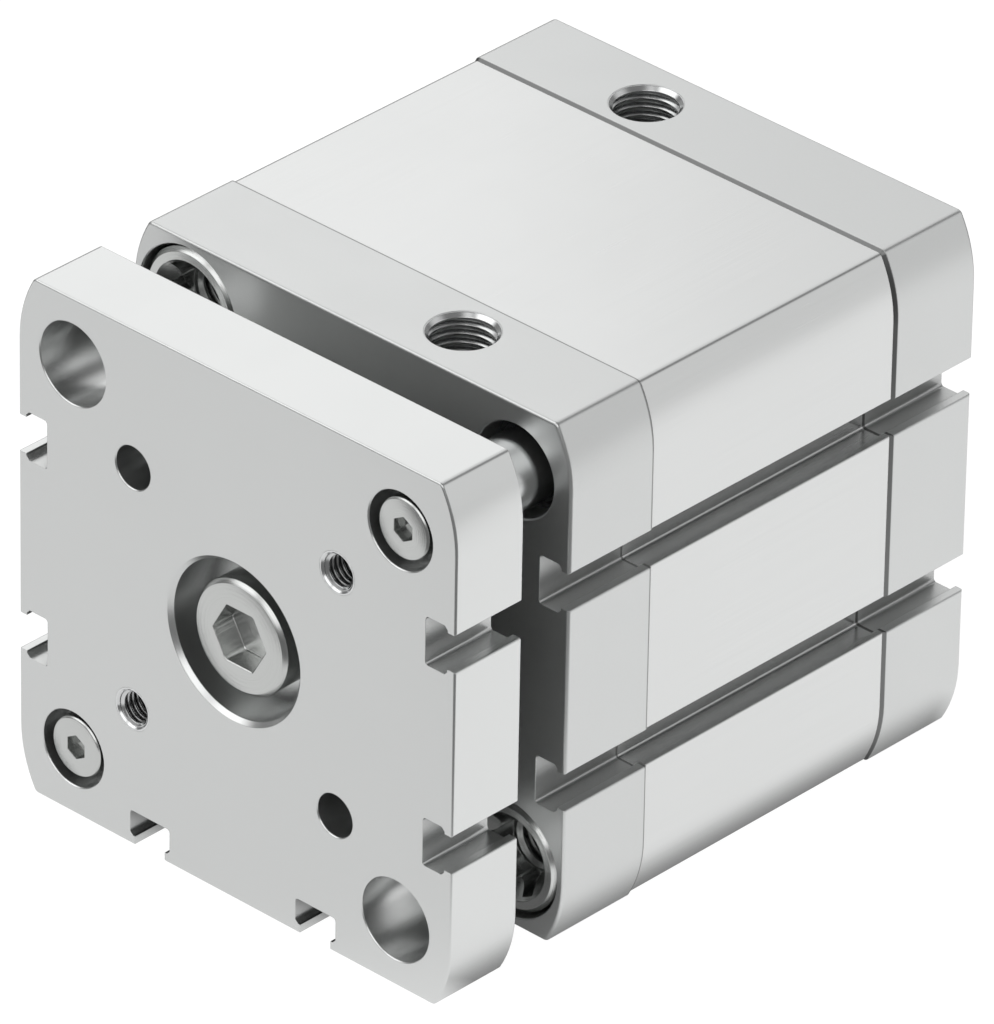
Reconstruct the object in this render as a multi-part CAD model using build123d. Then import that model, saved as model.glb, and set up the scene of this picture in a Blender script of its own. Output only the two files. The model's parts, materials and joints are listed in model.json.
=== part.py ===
from build123d import *
import math
import os

# A guided pneumatic cylinder, 63 mm bore and 25 mm stroke, drawn with its piston rod in.
# Millimetres. The piston axis lies along Y, the yoke plate faces -Y and +Z is up.
# The origin is on the piston axis, in the rear mounting face.

# Lengths along the piston axis
stroke = 25.0
plate_thickness = 11.7
plate_gap = 8.6
cap_length = 15.0
spigot_length = 3.0
piston_length = 12.4
end_clearance = 0.5

# Profile that the plate, both caps and the barrel share
bore_radius = 31.5
bore_lead_in = 0.4
duct_wall = 2.4
corner_to_side = 9.5
side_arc_radius = 18.2
side_arc_rise = 9.5
outline_corner_round = 0.9
barrel_inset = 0.25
plate_edge_round = 0.3
cap_edge_round = 0.45
joint_chamfer = 0.5
edge_break = 0.15

# T-slots for sensors, two on each side and two underneath
slot_pitch = 29.1
slot_mouth = 5.3
slot_mouth_round = 0.28
slot_lip = 1.3
slot_lip_bevel = 0.5
slot_inner_width = 7.0
slot_depth = 5.0
slot_floor_round = 0.5
slot_turns = (0, 180, -90)

# Hollow collar screws that hold the caps on the barrel
collar_thread_radius = 5.95
collar_head_radius = 7.8
collar_head_height = 7.7
collar_recess = 0.3
collar_bevel = 0.6
collar_engagement = 11.5
collar_inner_thread_radius = 4.0
collar_socket_radius = 5.68
collar_socket_web = 1.65
collar_socket_depth = 5.0
collar_entry_width = 0.47
lobe_count = 6
lobe_web_radius = 2.0
lobe_round = 0.4
tip_chamfer = 0.6

# Piston rod, yoke screw and piston nut
rod_radius = 8.0
rod_seat_depth = 1.5
rod_spigot_radius = 6.0
rod_thread_depth = 22.0
rod_end_overhang = 0.5
yoke_thread_radius = 4.95
yoke_screw_length = 20.0
yoke_head_radius = 8.0
yoke_head_height = 6.5
yoke_head_bevel = 0.55
yoke_head_recess = 1.0
yoke_key_width = 8.0
yoke_key_depth = 3.5
yoke_key_turn = 0.0
yoke_counterbore_radius = 11.0
yoke_counterbore_chamfer = 0.6
nut_key_width = 16.0
nut_height = 5.0
nut_sunk = 2.5

# Guide rods and their screws
guide_rod_radius = 5.0
guide_seat_depth = 4.0
guide_rod_chamfer = 0.4
guide_end_gap = 1.0
guide_thread_radius = 2.45
guide_screw_length = 14.0
guide_thread_depth = 12.0
guide_head_radius = 4.25
guide_head_height = 3.5
guide_head_bevel = 0.18
guide_head_recess = 0.5
guide_key_width = 3.0
guide_key_depth = 1.9
guide_key_turn = 30.0
guide_counterbore_radius = 5.4

# Interface holes in the yoke plate
access_hole_radius = 5.75
interface_circle_radius = 25.0
dowel_hole_radius = 3.0
interface_thread_radius = 3.0

# Bearing of the piston rod and of the guide rods in the bearing cap
bush_wall = 2.0
wiper_wall = 4.0
wiper_length = 4.5
wiper_recess = 0.3
guide_bush_wall = 1.5
guide_wiper_start = 3.0
guide_wiper_length = 2.5
guide_mouth_chamfer = 0.2

# Section of a wiper ring, as shares of its wall and of its length
wiper_tip_share = 0.25
wiper_root_share = 0.55
wiper_lip_share = 0.35
wiper_groove_share = 0.55

# Supply ports, threaded, on top of both caps
port_offset = 11.5
port_from_face = 8.2
port_radius = 4.864
port_depth = 8.0
port_mouth_chamfer = 0.06
duct_bore_radius = 2.0
air_duct_height = 25.0

# Centring recess in the rear mounting face and the room behind it for the piston nut
centring_radius = 6.0
centring_depth = 2.5
nut_pocket_wall = 3.0
nut_pocket_depth = 5.0

# Seals, buffers, guide band and magnet
spigot_seal_section = 1.5
spigot_groove_start = 0.5
spigot_groove_room = 0.4
buffer_inner_radius = 18.0
buffer_outer_radius = 24.0
buffer_seat_depth = 2.0
buffer_proud = 0.2
piston_gap = 0.3
seal_groove_width = 2.6
seal_groove_depth = 3.5
seal_land = 1.1
seal_lip_spread = 0.36
seal_heel = 1.2
magnet_half_width = 1.5
magnet_height = 4.5
band_height = 1.75
rod_seal_section = 1.4
rod_seal_from_shoulder = 2.0

# Clearances
thread_clearance = 0.05
duct_clearance = 0.1
screw_hole_clearance = 0.3
head_clearance = 0.6
seat_clearance = 0.02
running_clearance = 0.04
lip_clearance = 0.04
spigot_clearance = 0.05
groove_clearance = 0.05
overrun = 1.0

# Radii and places that follow from the sizes above
duct_radius = collar_thread_radius + duct_clearance
corner_offset = (bore_radius + duct_wall + duct_radius) / math.sqrt(2)
body_half = corner_offset + corner_to_side
interface_offset = interface_circle_radius / math.sqrt(2)
collar_seat = collar_recess + collar_head_height
collar_tip = cap_length + collar_engagement
collar_counterbore_radius = collar_head_radius + head_clearance
guide_bore_radius = guide_rod_radius + guide_bush_wall
bush_radius = rod_radius + bush_wall
wiper_radius = rod_radius + wiper_wall
spigot_radius = bore_radius - spigot_clearance
spigot_groove_width = spigot_seal_section + spigot_groove_room
piston_radius = bore_radius - piston_gap

# Faces along the piston axis, from the rear mounting face forwards
barrel_length = stroke + piston_length + 2 * end_clearance + 2 * spigot_length
barrel_back = -cap_length
barrel_front = barrel_back - barrel_length
cap_front = barrel_front - cap_length
plate_back = cap_front - plate_gap
plate_front = plate_back - plate_thickness
piston_back = barrel_back - spigot_length - end_clearance
piston_middle = piston_back - piston_length / 2
piston_front = piston_back - piston_length
guide_rod_front = plate_back - guide_seat_depth
guide_rod_back = -collar_tip - guide_end_gap
rod_front = plate_back - rod_seat_depth

# Corners seen from the front: the rods run in one diagonal pair and the front screws sit in the other
guide_corners = [(corner_offset, corner_offset), (-corner_offset, -corner_offset)]
screw_corners = [(-corner_offset, corner_offset), (corner_offset, -corner_offset)]


def across(y):
    """Plane square to the piston axis at y, with its own x along +X and its own y along +Z."""
    return Plane(origin=(0, y, 0), x_dir=(1, 0, 0), z_dir=(0, -1, 0))


def prism(sketch, front, back):
    """Sketch of a cross section, drawn out along Y from front to back."""
    return extrude(across(back) * sketch, amount=back - front)


def turned(corners):
    """Solid of revolution about Y, from the (radius, y) corners of its half section."""
    return revolve(make_face(Polyline(*corners, close=True)), Axis.Y)


def ring(inner, outer, front, back):
    """Plain ring about Y."""
    return turned([(inner, front), (outer, front), (outer, back), (inner, back)])


def stepped_bore(steps, mouth_chamfer=0.0):
    """Cutter that enters along +Y at y = 0. Each step is (radius, depth that it reaches)."""
    first_radius = steps[0][0]
    corners = [(0, -overrun), (first_radius + mouth_chamfer + overrun, -overrun)]
    start = mouth_chamfer
    for radius, reach in steps:
        corners.append((radius, start))
        corners.append((radius, reach))
        start = reach
    corners.append((0, start))
    return turned(corners)


def countersink(radius, width):
    """Cutter for a 45 degree countersink that enters along +Y at y = 0 and narrows to radius."""
    return turned([(0, -overrun), (radius + width + overrun, -overrun), (radius, width), (0, width)])


def outline(half):
    """Square outline with flat top and bottom, whose sides curve in towards the top and the bottom."""
    inset = body_half - half
    radius = side_arc_radius - inset
    flat = body_half - side_arc_rise
    rise = half - flat
    half_top = half - radius + math.sqrt(radius**2 - rise**2)
    middle = math.asin(rise / radius) / 2
    bulge = (half - radius + radius * math.cos(middle), flat + radius * math.sin(middle))
    right = ThreePointArc((half, flat), bulge, (half_top, half))
    lower_right = ThreePointArc((half, -flat), (bulge[0], -bulge[1]), (half_top, -half))
    left = ThreePointArc((-half, flat), (-bulge[0], bulge[1]), (-half_top, half))
    lower_left = ThreePointArc((-half, -flat), (-bulge[0], -bulge[1]), (-half_top, -half))
    edges = Curve() + [right, lower_right, left, lower_left]
    edges += Line((half, -flat), (half, flat))
    edges += Line((-half, -flat), (-half, flat))
    edges += Line((-half_top, half), (half_top, half))
    edges += Line((-half_top, -half), (half_top, -half))
    face = make_face(edges)
    tips = face.vertices().group_by(Axis.Y)
    return fillet(tips[0] + tips[-1], outline_corner_round)


def slot_section(half):
    """Section of one T-slot cutter in a side at x = half, with a rounded mouth and rounded floor corners."""
    face = body_half
    mouth = slot_mouth / 2
    inner = slot_inner_width / 2
    lip = face - slot_lip
    floor = face - slot_depth
    upper = Polyline(
        (half - slot_mouth_round, mouth),
        (lip, mouth),
        (lip, inner - slot_lip_bevel),
        (lip - slot_lip_bevel, inner),
        (floor + slot_floor_round, inner),
    )
    rim = mouth + slot_mouth_round
    floor_rim = inner - slot_floor_round
    upper_floor = RadiusArc((floor + slot_floor_round, inner), (floor, floor_rim), -slot_floor_round)
    upper_mouth = RadiusArc((half, rim), (half - slot_mouth_round, mouth), slot_mouth_round)
    outside = Line((half, rim), (half + overrun, rim))
    top = Curve() + [upper, upper_floor, upper_mouth, outside]
    bottom = mirror(top, Plane.XZ)
    floor_line = Line((floor, floor_rim), (floor, -floor_rim))
    end_line = Line((half + overrun, rim), (half + overrun, -rim))
    return make_face(top + bottom + floor_line + end_line)


def slot_cutters(half, front, back):
    """The six T-slots: two on the right, two on the left and two underneath."""
    section = slot_section(half)
    cutters = []
    for turn in slot_turns:
        for side in (-1, 1):
            placed = Rot(0, 0, turn) * Pos(0, side * slot_pitch / 2) * section
            cutters.append(prism(placed, front - overrun, back + overrun))
    return cutters


def yoke_plate():
    """Moving front plate, which carries the load and ties the guide rods to the piston rod."""
    plate = prism(outline(body_half), plate_front, plate_back)
    plate = fillet(plate.edges().group_by(Axis.Y)[0], plate_edge_round)
    plate -= slot_cutters(body_half, plate_front, plate_back)
    through = plate_thickness + overrun
    centre_seat = yoke_head_recess + yoke_head_height
    centre = stepped_bore(
        [
            (yoke_counterbore_radius, centre_seat),
            (yoke_thread_radius + screw_hole_clearance, plate_thickness - rod_seat_depth),
            (rod_radius + seat_clearance, through),
        ],
        yoke_counterbore_chamfer,
    )
    guide = stepped_bore(
        [
            (guide_counterbore_radius, guide_head_recess + guide_head_height),
            (guide_thread_radius + screw_hole_clearance, plate_thickness - guide_seat_depth),
            (guide_rod_radius + seat_clearance, through),
        ],
        edge_break,
    )
    access = stepped_bore([(access_hole_radius, through)], edge_break)
    dowel = stepped_bore([(dowel_hole_radius, through)], edge_break)
    thread = stepped_bore([(interface_thread_radius, through)])
    plate -= Pos(0, plate_front, 0) * centre
    for x, z in guide_corners:
        plate -= Pos(x, plate_front, z) * guide
    for x, z in screw_corners:
        plate -= Pos(x, plate_front, z) * access
    for side in (-1, 1):
        plate -= Pos(side * interface_offset, plate_front, -side * interface_offset) * dowel
        plate -= Pos(side * interface_offset, plate_front, side * interface_offset) * thread
    return plate


def cap_blank(joint_edge):
    """Cap with its outer face at y = 0 and its spigot pointing along +Y. The port is on the +X side."""
    block = prism(outline(body_half), 0, cap_length)
    block = fillet(block.edges().group_by(Axis.Y)[0], cap_edge_round)
    block = chamfer(block.edges().group_by(Axis.Y)[-1], joint_edge)
    block -= slot_cutters(body_half, 0, cap_length)
    spigot_end = cap_length + spigot_length
    groove_front = cap_length + spigot_groove_start
    groove_floor = spigot_radius - spigot_seal_section
    block += ring(0, spigot_radius, cap_length - overrun, spigot_end)
    block -= ring(groove_floor, bore_radius, groove_front, groove_front + spigot_groove_width)
    buffer_seat = spigot_end - buffer_seat_depth
    block -= ring(buffer_inner_radius, buffer_outer_radius, buffer_seat, spigot_end + overrun)
    return block - air_passage()


def air_passage():
    """Threaded port from above, then a duct down and a duct back through the spigot's face."""
    port = Rot(-90, 0, 0) * stepped_bore([(port_radius, port_depth)], port_mouth_chamfer)
    duct_drop = body_half - air_duct_height
    down = Pos(0, 0, -duct_drop / 2) * Cylinder(duct_bore_radius, duct_drop)
    back_length = cap_length + spigot_length + overrun - port_from_face
    back = Rot(90, 0, 0) * Cylinder(duct_bore_radius, back_length)
    back = Pos(0, back_length / 2, -duct_drop) * back
    return Pos(port_offset, port_from_face, body_half) * (port + down + back)


def collar_hole():
    """Hole for one collar screw in a cap, entered along +Y."""
    steps = [(collar_counterbore_radius, collar_seat), (duct_radius, cap_length + overrun)]
    return stepped_bore(steps, edge_break)


def bearing_cap():
    """Front cap, which carries the rod bush, both guide bushes and two collar screws."""
    cap = cap_blank(edge_break)
    rod_steps = [(wiper_radius, wiper_length), (bush_radius, cap_length + spigot_length + overrun)]
    cap -= stepped_bore(rod_steps, edge_break)
    for x, z in screw_corners:
        cap -= Pos(x, 0, z) * collar_hole()
    guide_bore = stepped_bore([(guide_bore_radius, cap_length + overrun)], guide_mouth_chamfer)
    for x, z in guide_corners:
        cap -= Pos(x, 0, z) * guide_bore
    return Pos(0, cap_front, 0) * cap


def end_cap():
    """Rear cap: the same blank turned round, with four collar screws and a centring recess."""
    cap = cap_blank(joint_chamfer)
    for x, z in guide_corners + screw_corners:
        cap -= Pos(x, 0, z) * collar_hole()
    cap -= stepped_bore([(centring_radius, centring_depth)], edge_break)
    pocket_radius = nut_key_width / math.sqrt(3) + nut_pocket_wall
    spigot_end = cap_length + spigot_length
    cap -= ring(0, pocket_radius, spigot_end - nut_pocket_depth, spigot_end + overrun)
    return Rot(0, 0, 180) * cap


def cylinder_barrel():
    """Extruded barrel with the piston bore, four corner ducts, the T-slots and a lead-in for the seals."""
    half = body_half - barrel_inset
    barrel = prism(outline(half), barrel_front, barrel_back)
    for end in (0, -1):
        barrel = chamfer(barrel.edges().group_by(Axis.Y)[end], edge_break)
    bores = Sketch() + Circle(bore_radius)
    for x, z in guide_corners + screw_corners:
        bores += Pos(x, z) * Circle(duct_radius)
    barrel -= prism(bores, barrel_front - overrun, barrel_back + overrun)
    lead_in = countersink(bore_radius, bore_lead_in)
    barrel -= Pos(0, barrel_front, 0) * lead_in
    barrel -= Pos(0, barrel_back, 0) * Rot(0, 0, 180) * lead_in
    return barrel - slot_cutters(half, barrel_front, barrel_back)


def lobed_socket():
    """Section of a six-lobed driving socket, with rounded webs and softened corners."""
    web_centre = collar_socket_radius - collar_socket_web + lobe_web_radius
    webs = PolarLocations(web_centre, lobe_count, start_angle=180 / lobe_count)
    section = Circle(collar_socket_radius) - webs * Circle(lobe_web_radius)
    return fillet(section.vertices(), lobe_round)


def collar_screw():
    """Hollow screw: lobed socket in the head and a female thread right through. The head faces -Y."""
    face = collar_recess
    body = turned(
        [
            (0, face),
            (collar_head_radius - collar_bevel, face),
            (collar_head_radius, face + collar_bevel),
            (collar_head_radius, collar_seat),
            (collar_thread_radius, collar_seat),
            (collar_thread_radius, collar_tip - tip_chamfer),
            (collar_thread_radius - tip_chamfer, collar_tip),
            (0, collar_tip),
        ]
    )
    entry_depth = collar_socket_radius + collar_entry_width - collar_inner_thread_radius
    body -= Pos(0, face, 0) * countersink(collar_inner_thread_radius, entry_depth)
    body -= ring(0, collar_inner_thread_radius, face, collar_tip + overrun)
    body -= prism(lobed_socket(), face - overrun, face + collar_socket_depth)
    return body


def socket_screw(head_radius, head_height, head_bevel, shank_radius, length, key_width, key_depth, key_turn):
    """Low-head screw with a hexagon socket. Its head's face is at y = 0 and its shank points along +Y."""
    reach = head_height + length
    body = turned(
        [
            (0, 0),
            (head_radius - head_bevel, 0),
            (head_radius, head_bevel),
            (head_radius, head_height),
            (shank_radius, head_height),
            (shank_radius, reach - tip_chamfer),
            (shank_radius - tip_chamfer, reach),
            (0, reach),
        ]
    )
    key = RegularPolygon(key_width / math.sqrt(3), 6, rotation=key_turn)
    return body - prism(key, -overrun, key_depth)


def piston_rod():
    """Rod with a female thread at the yoke and, behind the piston's seat, a spigot and a nut thread."""
    nut_seat = piston_back - nut_sunk
    thread_end = nut_seat + nut_height + rod_end_overhang
    rod = turned(
        [
            (0, rod_front),
            (rod_radius - tip_chamfer, rod_front),
            (rod_radius, rod_front + tip_chamfer),
            (rod_radius, piston_front),
            (rod_spigot_radius, piston_front),
            (rod_spigot_radius, nut_seat),
            (yoke_thread_radius, nut_seat),
            (yoke_thread_radius, thread_end - tip_chamfer),
            (yoke_thread_radius - tip_chamfer, thread_end),
            (0, thread_end),
        ]
    )
    rod -= ring(0, yoke_thread_radius + thread_clearance, rod_front - overrun, rod_front + rod_thread_depth)
    groove_middle = piston_front + rod_seal_from_shoulder
    groove_half = rod_seal_section / 2 + groove_clearance
    floor = rod_spigot_radius - rod_seal_section
    return rod - ring(floor, rod_radius, groove_middle - groove_half, groove_middle + groove_half)


def guide_rod():
    """Guide rod with a female thread in its front end, drawn on the piston axis."""
    rod = turned(
        [
            (0, guide_rod_front),
            (guide_rod_radius - guide_rod_chamfer, guide_rod_front),
            (guide_rod_radius, guide_rod_front + guide_rod_chamfer),
            (guide_rod_radius, guide_rod_back - guide_rod_chamfer),
            (guide_rod_radius - guide_rod_chamfer, guide_rod_back),
            (0, guide_rod_back),
        ]
    )
    thread = guide_thread_radius + thread_clearance
    return rod - ring(0, thread, guide_rod_front - overrun, guide_rod_front + guide_thread_depth)


def piston_half(side):
    """Half of the piston. Side is -1 for the front half and 1 for the rear half."""
    half_length = piston_length / 2
    seal_outer = half_length - seal_land
    seal_inner = seal_outer - seal_groove_width
    groove_floor = piston_radius - seal_groove_depth
    magnet_floor = piston_radius - magnet_height - band_height
    magnet_edge = magnet_half_width + groove_clearance
    corners = [
        (rod_spigot_radius + seat_clearance, 0),
        (magnet_floor, 0),
        (magnet_floor, magnet_edge),
        (piston_radius, magnet_edge),
        (piston_radius, seal_inner),
        (groove_floor, seal_inner),
        (groove_floor, seal_outer),
        (piston_radius, seal_outer),
        (piston_radius, half_length),
        (rod_spigot_radius + seat_clearance, half_length),
    ]
    half = turned([(radius, piston_middle + side * y) for radius, y in corners])
    if side > 0:
        nut_room = nut_key_width / math.sqrt(3) + head_clearance
        half -= ring(0, nut_room, piston_back - nut_sunk, piston_back + overrun)
    return half


def piston_seal(side):
    """Lip seal of the piston. Its open side faces the end of the piston on that side."""
    heel = piston_length / 2 - seal_land - seal_groove_width + groove_clearance
    lip = heel + seal_groove_width - 2 * groove_clearance
    inner = piston_radius - seal_groove_depth + groove_clearance
    outer = bore_radius - lip_clearance
    notch = (inner + outer) / 2
    corners = [
        (inner, heel),
        (outer - seal_lip_spread, heel),
        (outer - seal_lip_spread, heel + seal_heel),
        (outer, lip),
        (outer - seal_lip_spread, lip),
        (notch, heel + seal_heel),
        (inner + seal_lip_spread, lip),
        (inner, lip),
    ]
    return turned([(radius, piston_middle + side * y) for radius, y in corners])


def o_ring(middle_radius, section, y):
    """O-ring of round section about Y."""
    return Pos(0, y, 0) * revolve(Pos(middle_radius, 0) * Circle(section / 2), Axis.Y)


def piston_nut():
    """Hexagon nut behind the piston."""
    seat = piston_back - nut_sunk
    hexagon = RegularPolygon(nut_key_width / math.sqrt(3), 6) - Circle(yoke_thread_radius + thread_clearance)
    return prism(hexagon, seat, seat + nut_height)


def cap_seal():
    """Static O-ring in the groove of a cap's spigot, in the cap's own frame."""
    groove_middle = cap_length + spigot_groove_start + spigot_groove_width / 2
    middle_radius = spigot_radius - spigot_seal_section / 2
    return o_ring(middle_radius, spigot_seal_section - groove_clearance, groove_middle)


def buffer_ring():
    """Elastomer buffer that stops the piston softly, in the cap's own frame."""
    face = cap_length + spigot_length
    inner = buffer_inner_radius + groove_clearance
    outer = buffer_outer_radius - groove_clearance
    return ring(inner, outer, face - buffer_seat_depth, face + buffer_proud)


def place_front(x=0.0, z=0.0):
    """Place of a piece that is drawn in the bearing cap's own frame."""
    return Pos(x, cap_front, z)


def place_rear(x=0.0, z=0.0):
    """Place of a piece that is drawn in the end cap's own frame, turned round to face forwards."""
    return Pos(x, 0, z) * Rot(0, 0, 180)


def wiper(inner, outer, front, back):
    """Wiper ring: a body that grips its seat and two lips on the rod, the front one free to flex."""
    wall = outer - inner
    length = back - front
    root = front + wiper_lip_share * length
    return turned(
        [
            (inner, front),
            (inner + wiper_tip_share * wall, front),
            (inner + wiper_root_share * wall, root),
            (outer, root),
            (outer, back),
            (inner, back),
            (inner + wiper_tip_share * wall, front + wiper_groove_share * length),
        ]
    )


def static_pieces():
    """Everything that stays with the barrel, by name."""
    rod_inner = rod_radius + running_clearance
    guide_inner = guide_rod_radius + running_clearance
    guide_wiper_end = guide_wiper_start + guide_wiper_length
    guide_outer = guide_bore_radius - seat_clearance
    rod_wiper = wiper(rod_inner, wiper_radius - groove_clearance, wiper_recess, wiper_length)
    rod_bush = ring(rod_inner, bush_radius - seat_clearance, wiper_length, cap_length)
    guide_wiper = wiper(guide_inner, guide_outer, guide_wiper_start, guide_wiper_end)
    guide_bush = ring(guide_inner, guide_outer, guide_wiper_end, cap_length)
    pieces = {
        "bearing_cap": bearing_cap(),
        "cylinder_barrel": cylinder_barrel(),
        "end_cap": end_cap(),
        "rod_wiper": place_front() * rod_wiper,
        "rod_bush": place_front() * rod_bush,
        "front_cap_seal": place_front() * cap_seal(),
        "rear_cap_seal": place_rear() * cap_seal(),
        "front_buffer": place_front() * buffer_ring(),
        "rear_buffer": place_rear() * buffer_ring(),
    }
    for number, (x, z) in enumerate(guide_corners, start=1):
        pieces[f"guide_wiper_{number}"] = place_front(x, z) * guide_wiper
        pieces[f"guide_bush_{number}"] = place_front(x, z) * guide_bush
    screw = collar_screw()
    for number, (x, z) in enumerate(screw_corners, start=1):
        pieces[f"front_collar_screw_{number}"] = place_front(x, z) * screw
    for number, (x, z) in enumerate(guide_corners + screw_corners, start=1):
        pieces[f"rear_collar_screw_{number}"] = place_rear(x, z) * screw
    return pieces


def moving_pieces():
    """Everything that travels with the piston rod, by name."""
    magnet_inner = piston_radius - magnet_height - band_height + groove_clearance
    magnet_outer = piston_radius - band_height
    magnet_front = piston_middle - magnet_half_width
    magnet_back = piston_middle + magnet_half_width
    rod_seal_middle = rod_spigot_radius - rod_seal_section / 2
    rod_seal_place = piston_front + rod_seal_from_shoulder
    yoke_screw = socket_screw(
        yoke_head_radius,
        yoke_head_height,
        yoke_head_bevel,
        yoke_thread_radius,
        yoke_screw_length,
        yoke_key_width,
        yoke_key_depth,
        yoke_key_turn,
    )
    guide_screw = socket_screw(
        guide_head_radius,
        guide_head_height,
        guide_head_bevel,
        guide_thread_radius,
        guide_screw_length,
        guide_key_width,
        guide_key_depth,
        guide_key_turn,
    )
    pieces = {
        "yoke_plate": yoke_plate(),
        "yoke_screw": Pos(0, plate_front + yoke_head_recess, 0) * yoke_screw,
        "piston_rod": piston_rod(),
        "piston_front_half": piston_half(-1),
        "piston_rear_half": piston_half(1),
        "piston_front_seal": piston_seal(-1),
        "piston_rear_seal": piston_seal(1),
        "magnet_ring": ring(magnet_inner, magnet_outer, magnet_front, magnet_back),
        "guide_band": ring(
            magnet_outer + groove_clearance, bore_radius - running_clearance, magnet_front, magnet_back
        ),
        "rod_seal_ring": o_ring(rod_seal_middle, rod_seal_section - seat_clearance, rod_seal_place),
        "piston_nut": piston_nut(),
    }
    rod = guide_rod()
    for number, (x, z) in enumerate(guide_corners, start=1):
        pieces[f"guide_rod_{number}"] = Pos(x, 0, z) * rod
        pieces[f"guide_rod_screw_{number}"] = Pos(x, plate_front + guide_head_recess, z) * guide_screw
    return pieces


os.makedirs("parts", exist_ok=True)
for name, solid in {**static_pieces(), **moving_pieces()}.items():
    export_step(solid, f"parts/{name}.step")
print("barrel length", barrel_length, "overall length", -plate_front, "width", round(2 * body_half, 3))
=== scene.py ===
# %% [markdown]
# # Dressing a guided pneumatic cylinder
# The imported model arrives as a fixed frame. Every machined piece is already where it belongs, in metres,
# and its place is stored in its mesh. What is left to do here is the looks: the finish of each surface,
# the screws and threads in full detail, and the studio around the part. The frame is loaded before
# anything else, because all later pieces take their places from it.

# %% Load the frame
import json
import math

import bmesh
import bpy
from mathutils import Matrix, Vector


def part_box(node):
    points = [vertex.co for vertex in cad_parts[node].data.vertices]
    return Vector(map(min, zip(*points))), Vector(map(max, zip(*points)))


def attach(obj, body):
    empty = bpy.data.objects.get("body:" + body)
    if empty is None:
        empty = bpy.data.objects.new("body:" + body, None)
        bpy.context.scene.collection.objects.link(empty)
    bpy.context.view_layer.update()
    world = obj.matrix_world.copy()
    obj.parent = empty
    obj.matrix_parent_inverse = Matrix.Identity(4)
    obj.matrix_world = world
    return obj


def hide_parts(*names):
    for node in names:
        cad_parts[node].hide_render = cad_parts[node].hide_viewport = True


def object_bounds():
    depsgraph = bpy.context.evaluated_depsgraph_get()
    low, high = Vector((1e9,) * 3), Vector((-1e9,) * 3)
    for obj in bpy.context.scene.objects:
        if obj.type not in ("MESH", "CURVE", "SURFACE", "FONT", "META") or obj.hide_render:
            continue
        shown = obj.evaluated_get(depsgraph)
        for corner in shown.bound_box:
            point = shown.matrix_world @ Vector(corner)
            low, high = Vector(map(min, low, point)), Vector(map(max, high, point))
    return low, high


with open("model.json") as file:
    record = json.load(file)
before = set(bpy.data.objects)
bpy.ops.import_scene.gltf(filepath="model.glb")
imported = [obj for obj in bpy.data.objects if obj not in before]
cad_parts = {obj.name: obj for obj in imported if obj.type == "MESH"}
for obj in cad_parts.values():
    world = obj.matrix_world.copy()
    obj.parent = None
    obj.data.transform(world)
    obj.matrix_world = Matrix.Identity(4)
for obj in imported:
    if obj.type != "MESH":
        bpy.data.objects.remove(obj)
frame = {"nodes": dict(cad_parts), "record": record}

MM = 0.001
nodes = frame["nodes"]
cad_low, cad_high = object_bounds()
cad_size = cad_high - cad_low
print("frame:", len(nodes), "nodes,", "size in mm:", [round(x / MM, 2) for x in cad_size])

# %% [markdown]
# ## The camera
# The photograph is a long-lens product view from the right, the front and above. A camera model fitted to
# corners and hole centres gives the angles, the lens and the distance below. The camera is placed by
# three axes of its own: one to its right, one up and one back towards the lens. It looks at a point
# given by its offset from the middle of the yoke plate's front face.

# %% Place the camera
PICTURE_WIDTH = 994
PICTURE_HEIGHT = 1024
SENSOR = 36.0
VIEW_AZIMUTH = math.radians(42.926)
VIEW_ELEVATION = math.radians(31.174)
VIEW_ROLL = math.radians(1.036)
VIEW_DISTANCE = 1.62933
FOCAL_PIXELS = 13118.3
SIGHT_RIGHT = 32.725 * MM
SIGHT_UP = 16.134 * MM

back = Vector((
    math.sin(VIEW_AZIMUTH) * math.cos(VIEW_ELEVATION),
    -math.cos(VIEW_AZIMUTH) * math.cos(VIEW_ELEVATION),
    math.sin(VIEW_ELEVATION),
))
level_right = Vector((math.cos(VIEW_AZIMUTH), math.sin(VIEW_AZIMUTH), 0.0))
level_back = Vector((math.sin(VIEW_AZIMUTH), -math.cos(VIEW_AZIMUTH), 0.0))
level_up = back.cross(level_right)
right = math.cos(VIEW_ROLL) * level_right + math.sin(VIEW_ROLL) * level_up
up = math.cos(VIEW_ROLL) * level_up - math.sin(VIEW_ROLL) * level_right

plate_face = Vector((0.0, cad_low.y, 0.0))
sight = plate_face + right * SIGHT_RIGHT + up * SIGHT_UP
camera_data = bpy.data.cameras.new("product_camera")
camera_data.sensor_width = SENSOR
camera_data.lens = FOCAL_PIXELS * SENSOR / max(PICTURE_WIDTH, PICTURE_HEIGHT)
camera_data.clip_start = 0.05
camera_data.clip_end = 20.0
camera = bpy.data.objects.new("product_camera", camera_data)
bpy.context.scene.collection.objects.link(camera)
camera_turn = Matrix((right, up, back)).transposed().to_4x4()
camera.matrix_world = Matrix.Translation(sight + back * VIEW_DISTANCE) @ camera_turn
bpy.context.scene.camera = camera
bpy.context.scene.view_settings.view_transform = "Standard"
print("camera: lens", round(camera_data.lens, 1), "mm, place", [round(x, 4) for x in camera.location])

# %% [markdown]
# ## Helpers for node trees
# Every finish below is a tree of shader nodes. A few small helpers keep the trees readable. Wherever one
# takes a value, that is either a constant or the output of another node.

# %% Node helpers
def join(tree, output, entry):
    """Links an output socket to an input socket."""
    tree.links.new(output, entry)


def add_node(tree, kind, values=None, **settings):
    """Adds a node of that kind. Settings are its attributes, and values fill its inputs."""
    node = tree.nodes.new(kind)
    for name, value in settings.items():
        setattr(node, name, value)
    for name, value in (values or {}).items():
        if isinstance(value, bpy.types.NodeSocket):
            join(tree, value, node.inputs[name])
        else:
            node.inputs[name].default_value = value
    return node


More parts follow.
